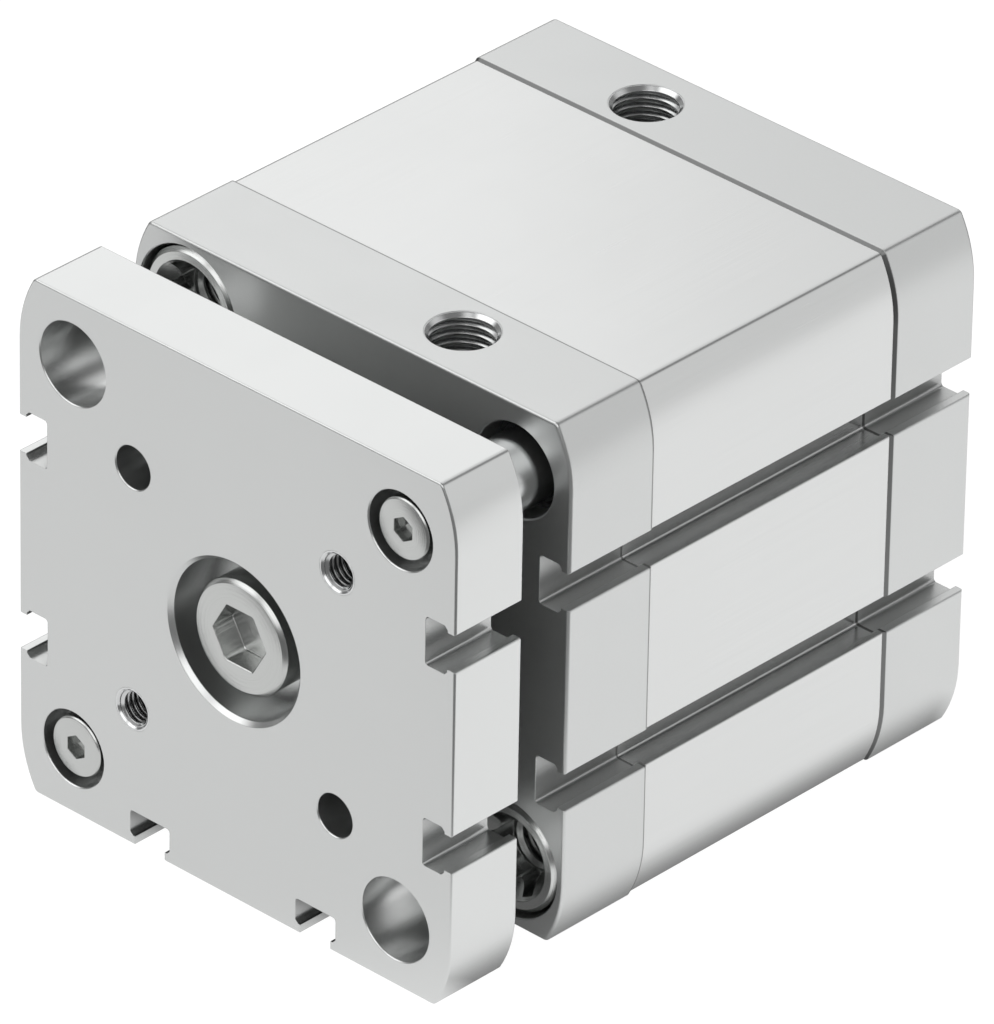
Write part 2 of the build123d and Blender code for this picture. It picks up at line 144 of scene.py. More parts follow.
def calc(tree, operation, *values, clamp=False):
    """Result of a Math node."""
    numbered = dict(enumerate(values))
    return add_node(tree, "ShaderNodeMath", numbered, operation=operation, use_clamp=clamp).outputs[0]


def along(tree, point, direction):
    """Dot product of a point with a direction."""
    numbered = {0: point, 1: direction}
    return add_node(tree, "ShaderNodeVectorMath", numbered, operation="DOT_PRODUCT").outputs["Value"]


def fade(tree, source, near, far, near_tone, far_tone, way="SMOOTHSTEP"):
    """Change from one tone to another while the source goes from near to far."""
    values = {"Value": source, "From Min": near, "From Max": far, "To Min": near_tone, "To Max": far_tone}
    return add_node(tree, "ShaderNodeMapRange", values, interpolation_type=way).outputs[0]


def grey(tone):
    """Opaque grey of that tone."""
    return (tone, tone, tone, 1.0)


def blend(tree, factor, first, second, way="MIX"):
    """Colour that the factor mixes from two."""
    values = {"Factor": factor, "A": first, "B": second}
    return add_node(tree, "ShaderNodeMix", values, data_type="RGBA", blend_type=way).outputs["Result"]


# %% [markdown]
# A node group is an effect with a name, so that several materials can use it. Each group here has one
# output, a mask. Its inputs are numbers with a default, apart from the point of the surface.

# %% Group helpers
def new_group(name, **entries):
    """Starts a group. An entry with the value None is a vector. Returns it and what its inputs put out."""
    group = bpy.data.node_groups.new(name, "ShaderNodeTree")
    for label, value in entries.items():
        kind = "NodeSocketVector" if value is None else "NodeSocketFloat"
        label = label.replace("_", " ")
        socket = group.interface.new_socket(name=label, in_out="INPUT", socket_type=kind)
        if value is not None:
            socket.default_value = value
    group.interface.new_socket(name="Mask", in_out="OUTPUT", socket_type="NodeSocketFloat")
    return group, group.nodes.new("NodeGroupInput").outputs


def put_out(group, mask):
    """Joins the mask to the group's output, and returns the finished group."""
    add_node(group, "NodeGroupOutput", {"Mask": mask})
    print("group:", group.name)
    return group


def use_group(tree, group, **values):
    """Mask of a group that is placed in a material."""
    named = {name.replace("_", " "): value for name, value in values.items()}
    return add_node(tree, "ShaderNodeGroup", named, node_tree=group).outputs["Mask"]


# %% [markdown]
# ## Effects that several finishes share
# Six effects make up the metal finishes of this part; the fifth and sixth are painted shade. Each mask goes
# from 0 to 1, so that a material decides for itself what the mask does to its colour, roughness and relief.
# All but the fifth read Object coordinates, which are metres in the frame here, so a mark has its true size.
#
# The first is the fine speckle of etched and anodised aluminium. Two layers of noise, one four times
# finer than the other, look less regular than one.

# %% Speckle of an anodised surface
FINER = 4.0
FINE_SHARE = 0.4


def build_speckle():
    """Fine isotropic speckle. Grains per metre is the number of the coarser grains in a metre."""
    group, entry = new_group("etched_speckle", Vector=None, Grains_per_metre=2500.0)
    vector, grains = entry["Vector"], entry["Grains per metre"]
    coarse = add_node(
        group, "ShaderNodeTexNoise",
        {"Vector": vector, "Scale": grains, "Detail": 2.0, "Roughness": 0.6},
    )
    finer = calc(group, "MULTIPLY", grains, FINER)
    fine = add_node(
        group, "ShaderNodeTexNoise",
        {"Vector": vector, "Scale": finer, "Detail": 1.0, "Roughness": 0.5},
    )
    both = add_node(
        group, "ShaderNodeMix",
        {"Factor": FINE_SHARE, "A": coarse.outputs["Fac"], "B": fine.outputs["Fac"]},
    )
    return put_out(group, both.outputs["Result"])


speckle_group = build_speckle()

# %% [markdown]
# The second effect is drawn grain: the faint parallel lines that a die leaves along an extruded profile.
# Noise whose coordinates are squeezed along one axis turns into lines along that axis. A second, much
# wider noise lets the lines come and go, as they do on a real profile.

# %% Drawn grain along one axis
PATCHES_PER_METRE = 60.0
PATCH_START, PATCH_FULL = 0.3, 0.7
FAINT_LINES, STRONG_LINES = 0.7, 1.6


def build_drawn_grain():
    """Lines along Y. Lines per metre counts them across, and Streak is their length in metres."""
    group, entry = new_group("drawn_grain", Vector=None, Lines_per_metre=4000.0, Streak=0.03)
    across = entry["Lines per metre"]
    lengthwise = calc(group, "DIVIDE", 1.0, entry["Streak"])
    squeeze = add_node(group, "ShaderNodeCombineXYZ", {"X": across, "Y": lengthwise, "Z": across})
    squeezed = add_node(
        group, "ShaderNodeVectorMath", {0: entry["Vector"], 1: squeeze.outputs[0]}, operation="MULTIPLY"
    )
    lines = add_node(
        group, "ShaderNodeTexNoise",
        {"Vector": squeezed.outputs[0], "Scale": 1.0, "Detail": 3.0, "Roughness": 0.7},
    )
    patches = add_node(
        group, "ShaderNodeTexNoise",
        {"Vector": entry["Vector"], "Scale": PATCHES_PER_METRE, "Detail": 1.0},
    ).outputs["Fac"]
    strength = fade(group, patches, PATCH_START, PATCH_FULL, FAINT_LINES, STRONG_LINES, "LINEAR")
    around_zero = calc(group, "SUBTRACT", lines.outputs["Fac"], 0.5)
    faded = calc(group, "MULTIPLY", around_zero, strength)
    return put_out(group, calc(group, "ADD", faded, 0.5, clamp=True))


drawn_group = build_drawn_grain()

# %% [markdown]
# The third effect is the turned face of a screw head: concentric tool marks round the axis. The distance
# from the axis goes into a one-dimensional noise, so that the rings have uneven widths. A material moves
# the pattern onto its own screw with a Mapping node. Because the marks are rings, a soft light shows on
# them as two opposed bright fans, like a bow tie.

# %% Turned rings round an axis along Y
def build_turned_rings():
    """Concentric marks round the Y axis. Rings per metre counts them along a radius."""
    group, entry = new_group("turned_rings", Vector=None, Rings_per_metre=5000.0)
    parts = add_node(group, "ShaderNodeSeparateXYZ", {0: entry["Vector"]}).outputs
    flat = add_node(group, "ShaderNodeCombineXYZ", {"X": parts["X"], "Z": parts["Z"]})
    distance = add_node(group, "ShaderNodeVectorMath", {0: flat.outputs[0]}, operation="LENGTH")
    scaled = calc(group, "MULTIPLY", distance.outputs["Value"], entry["Rings per metre"])
    rings = add_node(
        group, "ShaderNodeTexNoise", {"W": scaled, "Scale": 1.0, "Detail": 3.0, "Roughness": 0.65},
        noise_dimensions="1D",
    )
    return put_out(group, rings.outputs["Fac"])


rings_group = build_turned_rings()

# %% [markdown]
# The fourth effect is handling: large soft patches where a surface is a little duller, from oil and from
# hands. It is what keeps a flat machined face from looking computed. The patches are 10 to 30 mm wide.

# %% Handling marks
HANDLED_START, HANDLED_FULL = 0.35, 0.68


def build_handling():
    """Soft patches, 1 where the surface is dullest. Patches per metre sets how many there are."""
    group, entry = new_group("handling_marks", Vector=None, Patches_per_metre=45.0)
    cloud = add_node(
        group, "ShaderNodeTexNoise",
        {
            "Vector": entry["Vector"], "Scale": entry["Patches per metre"],
            "Detail": 3.0, "Roughness": 0.55, "Distortion": 0.6,
        },
    )
    return put_out(group, fade(group, cloud.outputs["Fac"], HANDLED_START, HANDLED_FULL, 0.0, 1.0))


handling_group = build_handling()

# %% [markdown]
# The fifth effect is painted shade in slots, sockets and thread grooves: the colour darkens where the
# surroundings close in. How open a point is to its surroundings within a few millimetres tells where that
# is.

# %% Hollows
HOLLOW_REACH = 5.0 * MM
# Painted shade: deep in a hollow the colour is multiplied towards this tone.
HOLLOW_SHADE_TONE = 0.22
CLOSED_IN, OPEN_FACE = 0.28, 0.94


def build_hollow_shade():
    """Painted shade mask: 1 deep in a slot, socket or groove of the same piece, and 0 on open faces."""
    group = new_group("painted_hollow_shade")[0]
    openness = add_node(
        group, "ShaderNodeAmbientOcclusion", {"Distance": HOLLOW_REACH}, samples=4, only_local=True
    )
    return put_out(group, fade(group, openness.outputs["AO"], CLOSED_IN, OPEN_FACE, 1.0, 0.0))


hollow_shade_group = build_hollow_shade()

# %% [markdown]
# The sixth effect is painted shade at the joints. The caps stand a little higher than the barrel, and the
# crevice where they meet it is painted as a fine dark line all round. It lies at one place along the
# cylinder's axis, so the Y coordinate alone finds it. Side is 1 for a piece that ends at the joint and -1
# for one that starts there.

# %% Joint line
JOINT_START = 0.38 * MM
JOINT_FULL = 0.30 * MM
# Painted shade at the joints: how dark each line gets.
FRONT_JOINT_SHADE = 0.45
REAR_JOINT_SHADE = 0.27
REAR_JOINT_EXTRA = 0.12 * MM


def build_joint_shade():
    """Painted shade mask: 1 within a hair's breadth of the joint, and 0 further into the piece. Joint is its
    place in Y.
    """
    group, entry = new_group("painted_joint_shade", Vector=None, Joint=0.0, Side=1.0)
    place = add_node(group, "ShaderNodeSeparateXYZ", {0: entry["Vector"]}).outputs["Y"]
    past = calc(group, "MULTIPLY", calc(group, "SUBTRACT", place, entry["Joint"]), entry["Side"])
    return put_out(group, fade(group, past, -JOINT_START, -JOINT_FULL, 0.0, 1.0, "LINEAR"))


joint_shade_group = build_joint_shade()

# %% [markdown]
# ## A recipe for metal
# All the metals here are built the same way. A grain mask varies the colour between two close tones, a
# handling mask adds to the roughness, and the grain drives a very low Bump. Painted shade darkens the colour
# in hollows, and at a joint where one is given. A Bevel node under the Bump rounds the shading of sharp
# edges by a seventh of a millimetre, which is the edge break that a real machined piece has, and which
# catches the light as a thin line.

# %% The metal recipe
EDGE_BREAK = 0.14 * MM


def start_material(name, metallic, roughness):
    """New material whose Principled shader has those plain values. Returns it with its shader."""
    material = bpy.data.materials.new(name)
    material.use_nodes = True
    shader = material.node_tree.nodes["Principled BSDF"]
    shader.inputs["Metallic"].default_value = metallic
    shader.inputs["Roughness"].default_value = roughness
    return material, shader


def drive(tree, shader, colour, roughness, bump):
    """Joins a finish's colour, its roughness and its Bump node to its shader."""
    join(tree, colour, shader.inputs["Base Color"])
    join(tree, roughness, shader.inputs["Roughness"])
    join(tree, bump.outputs["Normal"], shader.inputs["Normal"])


def place_pattern(tree, centre=(0.0, 0.0, 0.0)):
    """Object coordinates moved so that the pattern is centred on that point of the frame."""
    point = add_node(tree, "ShaderNodeTexCoord").outputs["Object"]
    values = {"Vector": point, "Location": [-x for x in centre]}
    return add_node(tree, "ShaderNodeMapping", values).outputs["Vector"]


def metal(
    name, dark, light, roughness, grain, grain_values, relief,
    metallic=1.0, centre=(0.0, 0.0, 0.0), hollow_shade_tone=HOLLOW_SHADE_TONE, joint=None,
):
    """Metal finish. Dark and light are the two tones, roughness is a range, relief a height in metres."""
    low, high = roughness
    half = (high - low) / 2
    material, shader = start_material(name, metallic, low)
    tree = material.node_tree
    vector = place_pattern(tree, centre)
    marks = use_group(tree, grain, Vector=vector, **grain_values)
    handling = use_group(tree, handling_group, Vector=vector)

    tone = blend(tree, marks, (*dark, 1.0), (*light, 1.0))
    # Painted shade in hollows, from how closed in the point is.
    colour = blend(tree, use_group(tree, hollow_shade_group), tone, grey(hollow_shade_tone), "MULTIPLY")
    # Painted shade at the joint with the barrel: a fine dark line.
    if joint is not None:
        place, side, joint_shade_tone = joint
        line = use_group(tree, joint_shade_group, Vector=vector, Joint=place, Side=side)
        colour = blend(tree, line, colour, grey(joint_shade_tone), "MULTIPLY")

    from_grain = calc(tree, "MULTIPLY_ADD", marks, half, low)
    dullness = calc(tree, "MULTIPLY_ADD", handling, half, from_grain, clamp=True)
    edge = add_node(tree, "ShaderNodeBevel", {"Radius": EDGE_BREAK}, samples=6).outputs["Normal"]
    bump = add_node(tree, "ShaderNodeBump", {"Distance": relief, "Height": marks, "Normal": edge})
    drive(tree, shader, colour, dullness, bump)
    return material


# %% [markdown]
# ## Aluminium
# The plate and both caps are milled from bar and clear anodised: an even pale grey, satin, with a fine
# speckle. The caps come from another lot and are a touch darker, and each has painted shade at its joint.
# The barrel is an extruded profile close to the plate's colour, with a drawn grain along its length. The
# piston halves are turned, so they get rings. Cut threads are bare metal, brighter and smoother.

# %% Aluminium finishes
SPECKLE = {"Grains_per_metre": 2600.0}
DRAWN = {"Lines_per_metre": 3800.0, "Streak": 0.035}
TURNED = {"Rings_per_metre": 3500.0}

satin_aluminium = metal(
    "satin_aluminium", (0.710, 0.720, 0.715), (0.740, 0.750, 0.745), (0.24, 0.28),
    speckle_group, SPECKLE, 0.0005 * MM, metallic=0.94,
)
CAP_FINISH = (
    (0.665, 0.675, 0.670), (0.695, 0.705, 0.700), (0.30, 0.35),
    speckle_group, SPECKLE, 0.0006 * MM,
)
barrel_front, barrel_rear = (corner.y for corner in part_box("cylinder_barrel"))
# Where the painted shade lines at the joints lie, and how dark they are.
front_joint_shade = (barrel_front, 1.0, FRONT_JOINT_SHADE)
rear_joint_shade = (barrel_rear + REAR_JOINT_EXTRA, -1.0, REAR_JOINT_SHADE)
cap_aluminium = metal("cap_aluminium", *CAP_FINISH, metallic=0.87, joint=rear_joint_shade)
front_cap_aluminium = metal("front_cap_aluminium", *CAP_FINISH, metallic=0.87, joint=front_joint_shade)
thread_aluminium = metal(
    "thread_aluminium", (0.75, 0.76, 0.76), (0.81, 0.82, 0.82), (0.16, 0.20),
    speckle_group, SPECKLE, 0.0005 * MM, hollow_shade_tone=0.58,
)
drawn_aluminium = metal(
    "drawn_aluminium", (0.682, 0.690, 0.686), (0.722, 0.729, 0.725), (0.24, 0.28),
    drawn_group, DRAWN, 0.0012 * MM,
)
piston_aluminium = metal(
    "piston_aluminium", (0.64, 0.65, 0.65), (0.74, 0.75, 0.75), (0.28, 0.40),
    rings_group, TURNED, 0.006 * MM,
)
print("aluminium:", satin_aluminium.name, cap_aluminium.name, drawn_aluminium.name, piston_aluminium.name)
print("joint lines at y =", round(barrel_front / MM, 2), "and", round(barrel_rear / MM, 2), "mm")

# %% [markdown]
# ## Steel and bronze
# The screws are zinc plated steel with turned faces, so each screw axis gets its own copy of the finish,
# centred on that axis. Rods are ground and polished: almost a mirror, with a faint speckle. The sliding
# bushes are bronze.

# %% Screw, rod and bush finishes
def node_centre(name):
    """Middle of a node's box, which lies on its axis when the node is round."""
    low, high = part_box(name)
    return (low + high) / 2


def turned_steel(name, centre, hollow_shade_tone):
    """Turned and plated screw steel, with its rings round an axis through that point."""
    return metal(
        name, (0.60, 0.61, 0.60), (0.69, 0.70, 0.69), (0.18, 0.24),
        rings_group, {"Rings_per_metre": 6000.0}, 0.02 * MM, centre=centre, hollow_shade_tone=hollow_shade_tone,
    )


polished_rod = metal(
    "polished_rod", (0.60, 0.61, 0.61), (0.66, 0.67, 0.67), (0.16, 0.22),
    speckle_group, {"Grains_per_metre": 1800.0}, 0.0008 * MM, hollow_shade_tone=0.75,
)
bearing_bronze = metal(
    "bearing_bronze", (0.52, 0.37, 0.19), (0.66, 0.48, 0.26), (0.30, 0.44),
    rings_group, {"Rings_per_metre": 2600.0}, 0.006 * MM,
)
print("steel and bronze:", polished_rod.name, bearing_bronze.name)

# %% [markdown]
# ## Rubber, magnet compound and filled plastic
# These are not metals, so their grain changes the colour and the relief of a matt surface. Rubber that
# comes from a mould is nearly black, with a soft sheen and a fine pebble. The magnet ring is a dull
# compound of plastic and powder, and the guide band is a filled plastic with a brown cast.

# %% Finishes that are not metal
def matt(name, dark, light, roughness, grains, relief):
    """Matt finish with a two-tone speckle, a roughness that varies with it and a fine pebble."""
    material, shader = start_material(name, 0.0, roughness[0])
    tree = material.node_tree
    marks = use_group(tree, speckle_group, Vector=place_pattern(tree), Grains_per_metre=grains)
    tone = blend(tree, marks, (*dark, 1.0), (*light, 1.0))
    wear = fade(tree, marks, 0.0, 1.0, *roughness, "LINEAR")
    bump = add_node(tree, "ShaderNodeBump", {"Distance": relief, "Height": marks})
    drive(tree, shader, tone, wear, bump)
    return material


black_rubber = matt(
    "black_rubber", (0.016, 0.016, 0.017), (0.042, 0.042, 0.043), (0.38, 0.62), 3000.0, 0.02 * MM
)
magnet_compound = matt(
    "magnet_compound", (0.07, 0.07, 0.08), (0.16, 0.16, 0.17), (0.55, 0.75), 1500.0, 0.03 * MM
)
guide_band_plastic = matt(
    "guide_band_plastic", (0.20, 0.15, 0.11), (0.32, 0.26, 0.21), (0.35, 0.55), 1200.0, 0.01 * MM
)
print("not metal:", black_rubber.name, magnet_compound.name, guide_band_plastic.name)

# %% [markdown]
# ## Finishes onto the nodes
# The record says which finish each node has. A node keeps its own mesh and only gets the material. The
# screws all get the finish of the middle one for now, because each is rebuilt below with its threads.
# Turned rings must be centred on the screw, so there is one steel finish for each of the five axes: the
# middle and the four corners. The middle and two of the corners hold socket screws in front. Their sockets
# are shallow and open to the light, so the shade painted inside them is lighter than in the deep sockets
# of the hollow screws.

# %% Assign the finishes
# Painted shade inside the sockets: lighter in the open ones, darker in the deep ones.
OPEN_SOCKET_SHADE = 0.80
DEEP_SOCKET_SHADE = 0.55

finishes = {
    "satin_aluminium": satin_aluminium,
    "drawn_aluminium": drawn_aluminium,
    "piston_aluminium": piston_aluminium,
    "polished_rod": polished_rod,
    "bearing_bronze": bearing_bronze,
    "black_rubber": black_rubber,
    "magnet_compound": magnet_compound,
    "guide_band_plastic": guide_band_plastic,
    "screw_steel": turned_steel("screw_steel_middle", (0.0, 0.0, 0.0), OPEN_SOCKET_SHADE),
}
slot_of = {part["node"]: part["material_slot"] for part in frame["record"]["subparts"]}
cap_finishes = {"bearing_cap": front_cap_aluminium, "end_cap": cap_aluminium}
for name, node in nodes.items():
    node.data.materials.clear()
    node.data.materials.append(cap_finishes.get(name) or finishes[slot_of[name]])

corner_finishes = {}
for name in nodes:
    if "collar_screw" in name:
        centre = node_centre(name)
        corner = (centre.x > 0, centre.z > 0)
        if corner not in corner_finishes:
            label = f"screw_steel_{'right' if corner[0] else 'left'}_{'top' if corner[1] else 'bottom'}"
            socket_shade_tone = OPEN_SOCKET_SHADE if corner[0] == corner[1] else DEEP_SOCKET_SHADE
            corner_finishes[corner] = turned_steel(label, (centre.x, 0.0, centre.z), socket_shade_tone)
print("finished nodes:", len(nodes), "steel finishes:", 1 + len(corner_finishes))

# %% [markdown]
# ## Screws and threads in full detail
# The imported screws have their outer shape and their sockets, but no threads, and every edge is sharp. Each
# is rebuilt here as a skin of closed loops. A loop is a ring of points at one depth along the screw's
# axis, and its radius may depend on the angle, which is what makes a hexagon or a lobed socket. Each loop
# is drawn out of the one before it, so the whole screw is one closed skin.
#
# All screws are built in millimetres along a local Z axis that starts at the head's outer face and runs
# into the part. A placing matrix then turns that axis to the node's own direction in the frame.

# %% Loops of points and skins between them
AROUND = 144
HEXAGON_ROUND = 0.985
WEB_BLEND = 0.5
SHARP_ABOVE = math.radians(32)
RIM_SOFTNESS = 0.2


def circle_at(radius):
    """Radius function of a plain circle."""
    return lambda angle: radius


def hexagon_at(across_flats, corner_angle):
    """Radius function of a hexagon with a corner at that angle and its corners slightly rounded."""
    limit = across_flats / math.sqrt(3) * HEXAGON_ROUND

    def radius_at(angle):
        off = (angle - corner_angle) % (math.pi / 3) - math.pi / 6
        return min(across_flats / 2 / math.cos(off), limit)

    return radius_at


def lobes_at(radius, web_radius, web_circle, count):
    """Radius function of a round socket with webs, which are posts centred on a circle round the axis."""
    step = 2 * math.pi / count

    def radius_at(angle):
        off = angle % step - step / 2
        reach = web_radius ** 2 - (web_circle * math.sin(off)) ** 2
        if reach <= 0.0:
            return radius
        web = web_circle * math.cos(off) - math.sqrt(reach)
        near = max(WEB_BLEND - abs(radius - web), 0.0) / WEB_BLEND
        return min(radius, web) - near ** 2 * WEB_BLEND / 4

    return radius_at


def once(elements):
    """List of the elements without repeats, in an order that is the same each run."""
    return list(dict.fromkeys(elements))


def place_loop(verts, depth, radius_at):
    """Moves a loop of points to a station. The depth is a number or follows from the radius."""
    for vert in verts:
        angle = math.atan2(vert.co.y, vert.co.x)
        reach = radius_at(angle)
        level = depth(reach) if callable(depth) else depth
        vert.co = Vector((math.cos(angle) * reach, math.sin(angle) * reach, level))


def skin(bm, stations, closed=False):
    """Draws a loop out over the (depth, radius function) stations, and joins its ends or caps them."""
    first = bmesh.ops.create_circle(bm, cap_ends=False, segments=AROUND, radius=1.0)["verts"]
    place_loop(first, *stations[0])
    first_edges = once(edge for vert in first for edge in vert.link_edges)
    verts, edges = first, first_edges
    for station in stations[1:]:
        drawn = bmesh.ops.extrude_edge_only(bm, edges=edges)["geom"]
        verts = [piece for piece in drawn if isinstance(piece, bmesh.types.BMVert)]
        edges = [piece for piece in drawn if isinstance(piece, bmesh.types.BMEdge) and piece.is_boundary]
        place_loop(verts, *station)
    if closed:
        bmesh.ops.bridge_loops(bm, edges=edges + first_edges)
    else:
        for end in (first_edges, edges):
            bmesh.ops.contextual_create(bm, geom=end)


def bevelled_rim(radius, bevel):
    """Stations of a turned 45 degree bevel between a face at depth 0 and a side at that radius."""
    soft = bevel * RIM_SOFTNESS
    return [
        (0.0, circle_at(radius - bevel - soft)),
        (soft / 2, circle_at(radius - bevel)),
        (bevel - soft / 2, circle_at(radius - soft)),
        (bevel + soft / 2, circle_at(radius)),
    ]


print("loops of", AROUND, "points")

# %% [markdown]
# A thread is a ridge with the 60 degree profile of an ISO thread, wound round the axis by the spin
# operator, which moves the profile along the axis while it turns it. A screw's ridge stands out of its
# core, and a nut's ridge stands in from the wall of its hole. At both ends the crest sinks into the wall
# over a quarter of a turn, as a real thread runs out, but a little of it stays, so that no two points
# meet.

# %% Thread ridges
THREAD_STEPS = 48
CREST_SHARE = 1 / 8
FOOT_SHARE = 7 / 16
THREAD_DEPTH_SHARE = 0.613
NUT_DEPTH_SHARE = 0.541
RUN_OUT = 0.25
LEAST_RISE = 0.02


def thread_ridge(bm, foot_radius, crest_radius, pitch, start, end):
    """Closed helical ridge on a wall of the foot radius, between two depths on the local Z axis."""
    old = set(bm.verts)
    profile = bmesh.ops.create_circle(bm, cap_ends=True, segments=4, radius=1.0)["verts"]
    profile.sort(key=lambda vert: math.atan2(vert.co.y, vert.co.x))
    corners = (
        (foot_radius, -FOOT_SHARE),
        (crest_radius, -CREST_SHARE),
        (crest_radius, CREST_SHARE),
        (foot_radius, FOOT_SHARE),
    )
    for vert, (radius, share) in zip(profile, corners):
        vert.co = Vector((radius, 0.0, start + (FOOT_SHARE + share) * pitch))
    turns = (end - start) / pitch - 2 * FOOT_SHARE
    steps = round(turns * THREAD_STEPS)
    edges = once(edge for vert in profile for edge in vert.link_edges)
    faces = once(face for vert in profile for face in vert.link_faces)
    bmesh.ops.spin(
        bm, geom=[*profile, *edges, *faces], cent=(0, 0, 0), axis=(0, 0, 1),
        dvec=(0, 0, turns * pitch / steps), angle=turns * 2 * math.pi, steps=steps,
    )
    for vert in set(bm.verts) - old:
        radius = vert.co.xy.length
        if abs(radius - crest_radius) < abs(radius - foot_radius):
            room = min(vert.co.z - start, end - vert.co.z) / pitch - (FOOT_SHARE - CREST_SHARE)
            rise = min(max(room / RUN_OUT, LEAST_RISE), 1.0)
            scale = (foot_radius + (crest_radius - foot_radius) * rise) / radius
            vert.co.x *= scale
            vert.co.y *= scale


def crest_to_foot(pitch):
    """Depth over which a flank falls from its crest to its foot."""
    return (FOOT_SHARE - CREST_SHARE) * pitch


def finish_mesh(bm, name):
    """Turns the construction mesh into a stored one: outward normals, smooth faces, sharp corners kept."""
    bmesh.ops.recalc_face_normals(bm, faces=bm.faces)
    for face in bm.faces:
        face.smooth = True
    for edge in bm.edges:
        edge.smooth = edge.calc_face_angle(0.0) < SHARP_ABOVE
    mesh = bpy.data.meshes.new(name)
    bm.to_mesh(mesh)
    bm.free()
    return mesh


def place_piece(template, name, placing, material, body, replaced=None):
    """Places a copy of a stored mesh in the frame, hangs it on its body and hides the node it replaces."""
    mesh = template.copy()
    mesh.name = name
    mesh.transform(placing)
    mesh.materials.append(material)
    piece = bpy.data.objects.new(name, mesh)
    bpy.context.scene.collection.objects.link(piece)
    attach(piece, body)
    if replaced:
        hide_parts(replaced)
    return piece


def placing_for(x, y, z, into):
    """Matrix from local millimetres, Z into the part, to the frame in metres."""
    side = Vector((1.0, 0.0, 0.0)) if abs(into.x) < 0.5 else Vector((0.0, 1.0, 0.0))
    turn = Matrix((side, into.cross(side), into)).transposed().to_4x4()
    return Matrix.Translation((x, y, z)) @ turn @ Matrix.Scale(MM, 4)


def body_of_node(name):
    """Name of the body that a node belongs to."""
    bodies = frame["record"]["behaviour"]["bodies"]
    return next(body for body, members in bodies.items() if name in members)


print("thread ridges: depth shares", THREAD_DEPTH_SHARE, "and", NUT_DEPTH_SHARE)

# %% [markdown]
# ## The socket screws
# Low-head screws with a hexagon socket: one in the middle of the plate, two at the guide rods. Head
# radius and length come from the node's own box. The socket's walls end in a flat floor with a small
# fillet, and its mouth has a narrow bevel. The corner angles are the ones in the photograph.

# %% Build the socket screws
SOCKET_MOUTH = 1.03
SOCKET_FLOOR = 0.97
FLOOR_FILLET = 0.15
MOUTH_BEVEL = 0.12
TIP_CHAMFER = 0.6


def node_size(name):
    """Head radius and length of a screw node along Y, in millimetres."""
    low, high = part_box(name)
    return (high.x - low.x) / 2 / MM, (high.y - low.y) / MM


def build_socket_screw(node, head_height, bevel, key_width, key_depth, corner, thread_radius, pitch):
    """Mesh of a socket screw with the head radius and the length of that node."""
    head_radius, length = node_size(node)
    core = thread_radius - THREAD_DEPTH_SHARE * pitch
    stations = [
        (key_depth, hexagon_at(key_width * SOCKET_FLOOR, corner)),
        (key_depth - FLOOR_FILLET, hexagon_at(key_width, corner)),
        (MOUTH_BEVEL, hexagon_at(key_width, corner)),
        (0.0, hexagon_at(key_width * SOCKET_MOUTH, corner)),
    ]
    stations += bevelled_rim(head_radius, bevel)
    stations += [
        (head_height - MOUTH_BEVEL, circle_at(head_radius)),
        (head_height, circle_at(head_radius - MOUTH_BEVEL)),
        (head_height, circle_at(core)),
        (length - TIP_CHAMFER, circle_at(core)),
        (length, circle_at(core - TIP_CHAMFER)),
    ]
    bm = bmesh.new()
    skin(bm, stations)
    thread_ridge(bm, core, thread_radius, pitch, head_height + pitch, length - TIP_CHAMFER / 2)
    return finish_mesh(bm, node + "_template")


def place_screw(template, node):
    """Puts a screw mesh in the place of its node. Rear screws face +Y and all others -Y."""
    low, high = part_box(node)
    centre = node_centre(node)
    rear = node.startswith("rear")
    into = Vector((0.0, -1.0 if rear else 1.0, 0.0))
    placing = placing_for(centre.x, high.y if rear else low.y, centre.z, into)
    at_middle = abs(centre.x) < MM
    finish = finishes["screw_steel"] if at_middle else corner_finishes[(centre.x > 0, centre.z > 0)]
    return place_piece(template, node + "_detail", placing, finish, body_of_node(node), node)


yoke_template = build_socket_screw(
    "yoke_screw", head_height=6.5, bevel=0.50, key_width=8.0, key_depth=3.5,
    corner=0.0, thread_radius=4.95, pitch=1.5,
)
guide_template = build_socket_screw(
    "guide_rod_screw_1", head_height=3.5, bevel=0.22, key_width=3.0, key_depth=1.9,
    corner=math.pi / 2, thread_radius=2.45, pitch=0.8,
)
place_screw(yoke_template, "yoke_screw")
place_screw(guide_template, "guide_rod_screw_1")
place_screw(guide_template, "guide_rod_screw_2")
print("socket screws: 3")

# %% [markdown]
# ## The hollow collar screws
# Each cap hangs on hollow screws with a six-lobed driving socket and a female thread right through. The
# skin runs from the socket over the head, down the outside, round the tip and back up the bore, so it
# closes on itself like a ring. The socket's entry is a cone that also cuts the tops of the webs: where a
# web stands further in, the cone meets it deeper. The bore gets the inner ridge, the shank the outer one.

# %% Build the collar screws
COLLAR_HEAD = 7.7
COLLAR_BEVEL = 0.6
COLLAR_THREAD = 5.95
COLLAR_PITCH = 1.25
BORE_RADIUS = 4.0
BORE_PITCH = 1.25
LOBE_RADIUS = 5.68
WEB_RADIUS = 2.0
WEB_CIRCLE = 6.03
LOBES = 6
LOBE_DEPTH = 5.0
ENTRY = 0.47
COLLAR_EDGE = 0.2


